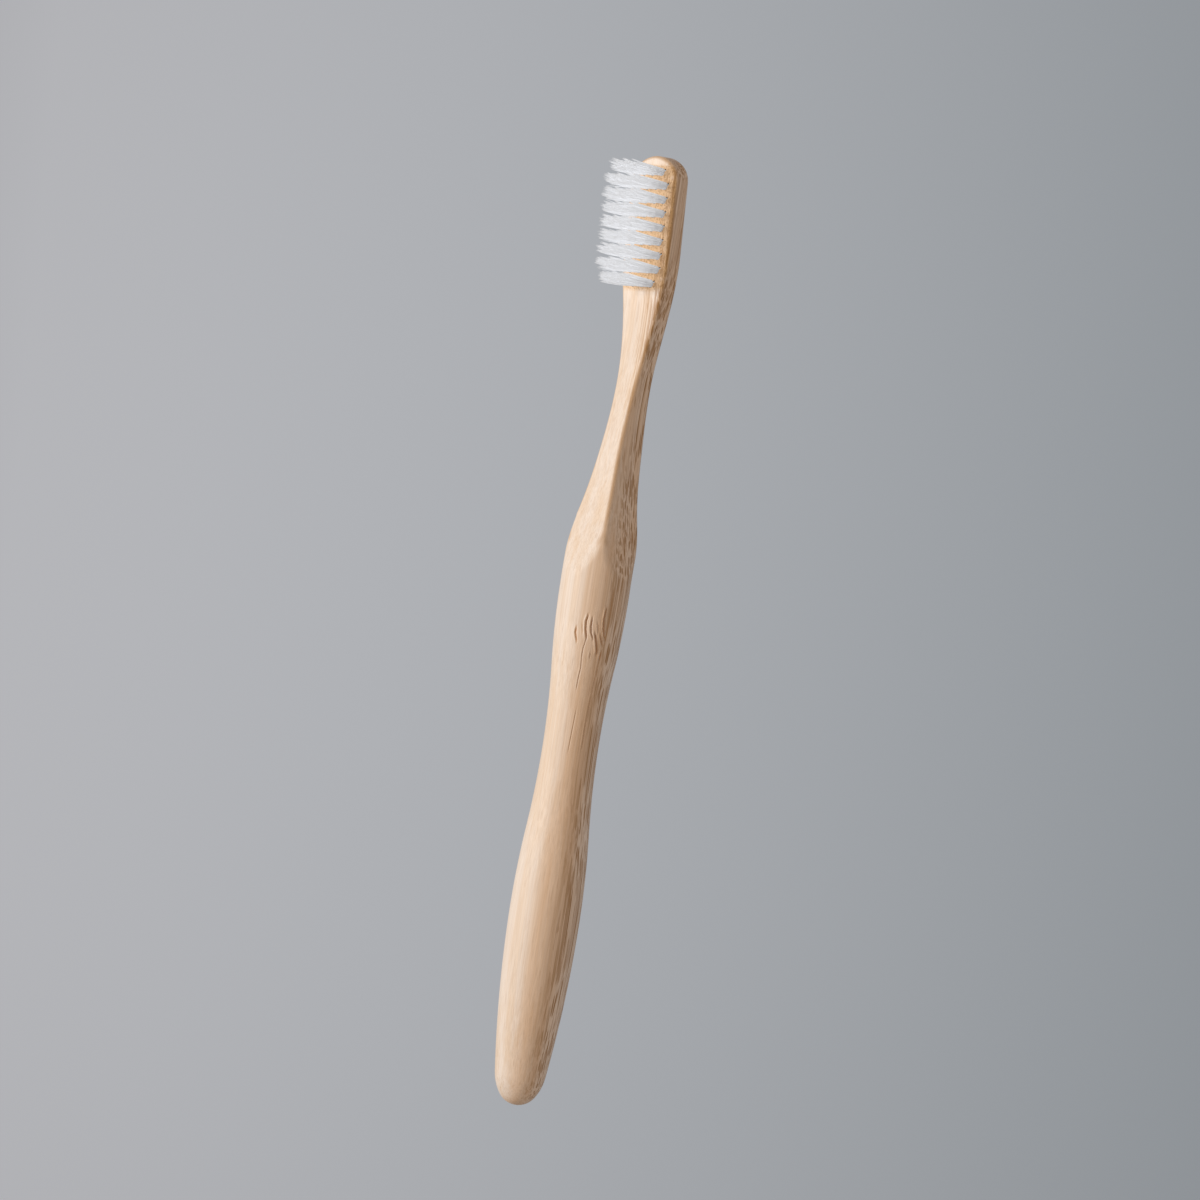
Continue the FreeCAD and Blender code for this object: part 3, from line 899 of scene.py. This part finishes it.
def bundles(tree, place, spacing, core, edge):
    """Strands that run the whole length: the cores of cells drawn across the brush, of uneven strength."""
    axes = node(tree, "ShaderNodeSeparateXYZ", {0: place})
    across = node(tree, "ShaderNodeCombineXYZ", {0: axes.outputs[1], 1: axes.outputs[2]}).outputs[0]
    inputs = {"Vector": across, "Scale": 1 / spacing}
    cells = node(tree, "ShaderNodeTexVoronoi", inputs, voronoi_dimensions="2D")
    strand = ramp_between(tree, cells.outputs["Distance"], core, edge, 1.0, 0.0)
    pick = node(tree, "ShaderNodeSeparateColor", {0: cells.outputs["Color"]}).outputs[0]
    return calculate(tree, "MULTIPLY", strand, ramp_between(tree, pick, *BUNDLE_PICK))


def strand_crowding_and_shade(tree, place):
    """How strongly strands show and how dark they are: faintly on the inner side of the stalk, and fully
    towards its skin, which is also the side turned from the key lamp, so that part of it is painted shade.
    """
    axes = node(tree, "ShaderNodeSeparateXYZ", {0: place})
    across = calculate(tree, "MULTIPLY", axes.outputs[1], SKIN_AND_SHADE_ACROSS)
    up = calculate(tree, "MULTIPLY", calculate(tree, "SUBTRACT", axes.outputs[2], AXIS_HEIGHT), SKIN_AND_SHADE_UP)
    return ramp_between(tree, calculate(tree, "ADD", across, up), *CROWDING_AND_SHADE)


def strand_pattern(tree, place, crowd_and_shade):
    """Long strands of the bamboo: coarse bundles and lines with fine bundles between them."""
    lines = calculate(tree, "MULTIPLY", streaks(tree, place, *LONG_LINES), LINE_STRENGTH)
    coarse = calculate(tree, "MAXIMUM", bundles(tree, place, *COARSE_BUNDLES), lines)
    coarse = calculate(tree, "MULTIPLY", coarse, COARSE_STRENGTH)
    fine = calculate(tree, "MULTIPLY", bundles(tree, place, *FINE_BUNDLES), FINE_STRENGTH)
    return calculate(tree, "MULTIPLY", calculate(tree, "MAXIMUM", coarse, fine), crowd_and_shade)


def bamboo_ground(tree, place, fibres):
    """Ground of the bamboo: honey, with cream painted on as light towards the key lamp and a little in deep
    shade, with wide bands and fine fibres.
    """
    bands = streaks(tree, place, *BANDS)
    # Painted light: how far the surface faces the key lamp
    normal = node(tree, "ShaderNodeNewGeometry", {}).outputs["Normal"]
    facing = node(tree, "ShaderNodeVectorMath", {0: normal, 1: PAINTED_LIGHT_SIDE}, operation="DOT_PRODUCT")
    toward_key = facing.outputs["Value"]
    painted_paling = calculate(tree, "ADD", ramp_between(tree, toward_key, *LIT_PALING), ramp_between(tree, toward_key, *SHADE_PALING))
    honey = mix_colours(tree, bands, HONEY, DEEP_HONEY)
    cream = mix_colours(tree, bands, LIT_CREAM, LIT_TAN)
    light = ramp_between(tree, fibres, *FIBRE_LIGHT)
    lit = node(tree, "ShaderNodeCombineXYZ", {0: light, 1: light, 2: light}).outputs[0]
    return mix_colours(tree, 1.0, mix_colours(tree, painted_paling, honey, cream), lit, "MULTIPLY")


def bamboo():
    """Sanded bamboo: a honey and cream ground with painted light, and long brown strands that grow stronger
    towards the skin side, which is also the shaded side, where they are painted darker as shade. Warm shade
    is painted along the edges, among the tufts and in the holes.

    The strands lie along the brush all through the wood, so they show as streaks on the sides, as short
    dashes where the shape flares and as dots on the ends.
    """
    made, tree, shader, place = new_material("sanded_bamboo")
    wander = calculate(tree, "SUBTRACT", clouds(tree, place, *WANDER), CLOUD_MIDDLE)
    shift = calculate(tree, "MULTIPLY", wander, WANDER_REACH)
    bent = node(tree, "ShaderNodeVectorMath", {0: place, 1: shift}, operation="ADD").outputs[0]
    crowd_and_shade = strand_crowding_and_shade(tree, place)
    strands = strand_pattern(tree, bent, crowd_and_shade)
    dashes = calculate(tree, "MULTIPLY", streaks(tree, bent, *DASHES), crowd_and_shade)
    fibres = clouds(tree, bent, *FIBRES)
    painted_tuft_shade = stored(tree, "painted_tuft_shade")
    specks = calculate(tree, "MULTIPLY", streaks(tree, place, *SPECKS), painted_tuft_shade)
    # Painted shade among the layers: warm shade at the edges, shade among the tufts, browner strands on the
    # shaded side and dark shade in the holes
    layers = (
        (stored(tree, "edge"), EDGE_SHADE_COVER, EDGE_SHADE_ORANGE),
        (painted_tuft_shade, TUFT_SHADE_COVER, TUFT_SHADE_TAN),
        (specks, SPECK_COVER, SPECK_BROWN),
        (strands, STRAND_COVER, mix_colours(tree, crowd_and_shade, LIT_FIBRE_TAN, SHADED_FIBRE_BROWN)),
        (dashes, DASH_COVER, DASH_BROWN),
        (stored(tree, "groove"), GROOVE_COVER, GROOVE_BROWN),
        (stored(tree, "hole"), HOLE_SHADE_COVER, HOLE_SHADE_BROWN),
    )
    colour = bamboo_ground(tree, place, fibres)
    for mask, cover, shade in layers:
        colour = mix_colours(tree, calculate(tree, "MULTIPLY", mask, cover), colour, shade)
    relief = calculate(tree, "SUBTRACT", fibres, calculate(tree, "MULTIPLY", strands, STRAND_SINK))
    inputs = {"Height": relief, "Strength": RELIEF_STRENGTH, "Distance": RELIEF_DEPTH * MM}
    feed(tree, shader, {
        "Base Color": colour,
        "Roughness": ramp_between(tree, fibres, *BAMBOO_ROUGHNESS),
        "Normal": node(tree, "ShaderNodeBump", inputs).outputs[0],
        "Specular IOR Level": BAMBOO_SPECULAR,
        "Sheen Weight": SHEEN_WEIGHT,
        "Sheen Roughness": SHEEN_ROUGHNESS,
    })
    return made


def nylon():
    """Frosted nylon filaments: cool white, with light painted on the shaded roots to make them paler, that
    let light through to those behind.
    """
    made, tree, shader, place = new_material("bristle_nylon")
    cloud = clouds(tree, place, *NYLON_CLOUDS)
    tips = mix_colours(tree, cloud, NYLON_SHADE, NYLON_LIGHT)
    # Painted light: the shaded roots are paler
    paler = ramp_between(tree, stored(tree, "height"), *ROOT_LIGHT_RAMP)
    feed(tree, shader, {
        "Base Color": mix_colours(tree, paler, tips, PAINTED_ROOT_LIGHT),
        "Roughness": ramp_between(tree, cloud, *NYLON_ROUGHNESS),
    })
    path = node(tree, "ShaderNodeLightPath", {})
    passed = ramp_between(tree, path.outputs["Ray Length"], *PASSED_RAMP)
    let_through(tree, shader, calculate(tree, "MULTIPLY", path.outputs["Is Shadow Ray"], passed))
    return made


def anchor_brass():
    """Drawn brass strip: warm yellow metal with fine scratches along the brush."""
    made, tree, shader, place = new_material("anchor_brass")
    scratches = clouds(tree, place, *BRASS_SCRATCHES)
    feed(tree, shader, {
        "Base Color": mix_colours(tree, scratches, BRASS_DARK, BRASS_LIGHT),
        "Roughness": ramp_between(tree, scratches, *BRASS_ROUGHNESS),
        "Metallic": 1.0,
    })
    return made


def floor_paper():
    """Grey paper with a painted light falloff: darkest along a line below the brush and paler away from it,
    and clear from below.
    """
    made, tree, shader, place = new_material("floor_paper")
    axes = node(tree, "ShaderNodeSeparateXYZ", {0: place})
    slant = calculate(tree, "MULTIPLY", axes.outputs[0], PAPER_SLANT)
    beside = calculate(tree, "SUBTRACT", calculate(tree, "ADD", axes.outputs[1], slant), PAPER_DARKEST)
    away = calculate(tree, "ABSOLUTE", beside, 0.0)
    # Painted light falloff on the paper, darkest along a line below the brush
    painted_falloff = node(tree, "ShaderNodeMapRange", {"Value": away, "From Max": PAPER_REACH}).outputs[0]
    grain = clouds(tree, place, *PAPER_GRAIN)
    feed(tree, shader, {
        "Base Color": mix_colours(tree, painted_falloff, PAPER_SHADE_GREY, PAPER_LIT_PALE),
        "Roughness": ramp_between(tree, grain, *PAPER_ROUGHNESS),
        "Specular IOR Level": 0.0,
    })
    let_through(tree, shader, node(tree, "ShaderNodeNewGeometry", {}).outputs["Backfacing"])
    return made


def dress(piece, slot, material, *nodes):
    """Give a piece its material and its body, and hide the CAD nodes that it stands for. The slot is not
    used.
    """
    piece.data.materials.append(material)
    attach(piece, "root")
    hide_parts(*nodes)


def make_handle():
    """The handle with its holes, its marks and its bamboo."""
    handle = handle_skin()
    drill(handle, hole_cutter())
    handle.data.set_sharp_from_angle(angle=SHARP_ANGLE)
    mark_grooves(handle)
    paint_edge_shade(handle)
    paint_tuft_shade(handle)
    paint_hole_shade(handle)
    dress(handle, "bamboo", bamboo(), "handle")
    return handle


def make_brush():
    """The handle, the tufts, and a finish for the anchors, all in one collection."""
    brush = bpy.data.collections.new("brush")
    brush.objects.link(make_handle())
    white = nylon()
    draw = np.random.default_rng(BRISTLE_SEED)
    for row, column, station, across in tuft_places():
        piece = tuft(row, column, station, across, draw)
        dress(piece, "bristle", white, "tuft_row%d_col%d" % (row, column))
        brush.objects.link(piece)
    brass = anchor_brass()
    for row in range(1, ROWS + 1):
        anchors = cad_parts["anchors_row%d" % row]
        anchors.data.materials.clear()
        anchors.data.materials.append(brass)
        brush.objects.link(anchors)
    return brush


def make_floor():
    """A wide floor far below the brush, so that the brush hangs free as in the photograph."""
    corners = ((-1, -1), (1, -1), (1, 1), (-1, 1))
    points = np.array([[x * FLOOR_REACH, y * FLOOR_REACH, FLOOR_LEVEL] for x, y in corners])
    floor = new_piece("floor", points, [[0, 1, 2, 3]])
    floor.data.materials.append(floor_paper())


def make_camera():
    """The photograph's view: from the front and above, rolled so that the brush leans to the right."""
    facing = Vector((0, -math.sin(VIEW_TURN), math.cos(VIEW_TURN)))
    right = Vector((0, -math.cos(VIEW_TURN), -math.sin(VIEW_TURN)))
    along = Vector((1, 0, 0))
    level = right * math.cos(VIEW_ROLL) + along * math.sin(VIEW_ROLL)
    up = along * math.cos(VIEW_ROLL) - right * math.sin(VIEW_ROLL)
    target = Vector((0, 0, AXIS_HEIGHT)) + level * VIEW_RIGHT + up * VIEW_UP
    place = (target + facing * VIEW_DISTANCE) * MM
    data = bpy.data.cameras.new("camera")
    data.lens = LENS
    data.sensor_width = SENSOR
    camera = bpy.data.objects.new("camera", data)
    bpy.context.scene.collection.objects.link(camera)
    turn = Matrix((level, up, facing)).transposed()
    camera.matrix_world = Matrix.Translation(place) @ turn.to_4x4()
    bpy.context.scene.camera = camera


def softbox(name, place, size, power, colour):
    """A round soft lamp at a place in metres, aimed at the origin."""
    data = bpy.data.lights.new(name, "AREA")
    data.shape = "DISK"
    data.size = size
    data.energy = power
    data.color = colour
    lamp = bpy.data.objects.new(name, data)
    bpy.context.scene.collection.objects.link(lamp)
    lamp.location = place
    lamp.rotation_euler = Vector(place).to_track_quat("Z", "Y").to_euler()
    return lamp


def make_light(brush):
    """A soft key above the far side, a weak warm fill on the brush from the near side, and a grey room."""
    softbox("key", *KEY_LAMP)
    fill = softbox("fill", *FILL_LAMP)
    fill.light_linking.receiver_collection = brush
    world = bpy.data.worlds.new("room")
    bpy.context.scene.world = world
    world.use_nodes = True
    tree = world.node_tree
    rays = node(tree, "ShaderNodeLightPath", {}).outputs
    seen = calculate(tree, "MAXIMUM", rays["Is Camera Ray"], rays["Is Transmission Ray"])
    seen = calculate(tree, "MAXIMUM", seen, rays["Is Glossy Ray"])
    feed(tree, tree.nodes["Background"], {"Color": mix_colours(tree, seen, ROOM_LIGHT, ROOM_SEEN)})


make_floor()
make_camera()
make_light(make_brush())
bpy.context.scene.view_settings.view_transform = "Standard"
bpy.context.scene.cycles.transparent_max_bounces = CLEAR_BOUNCES
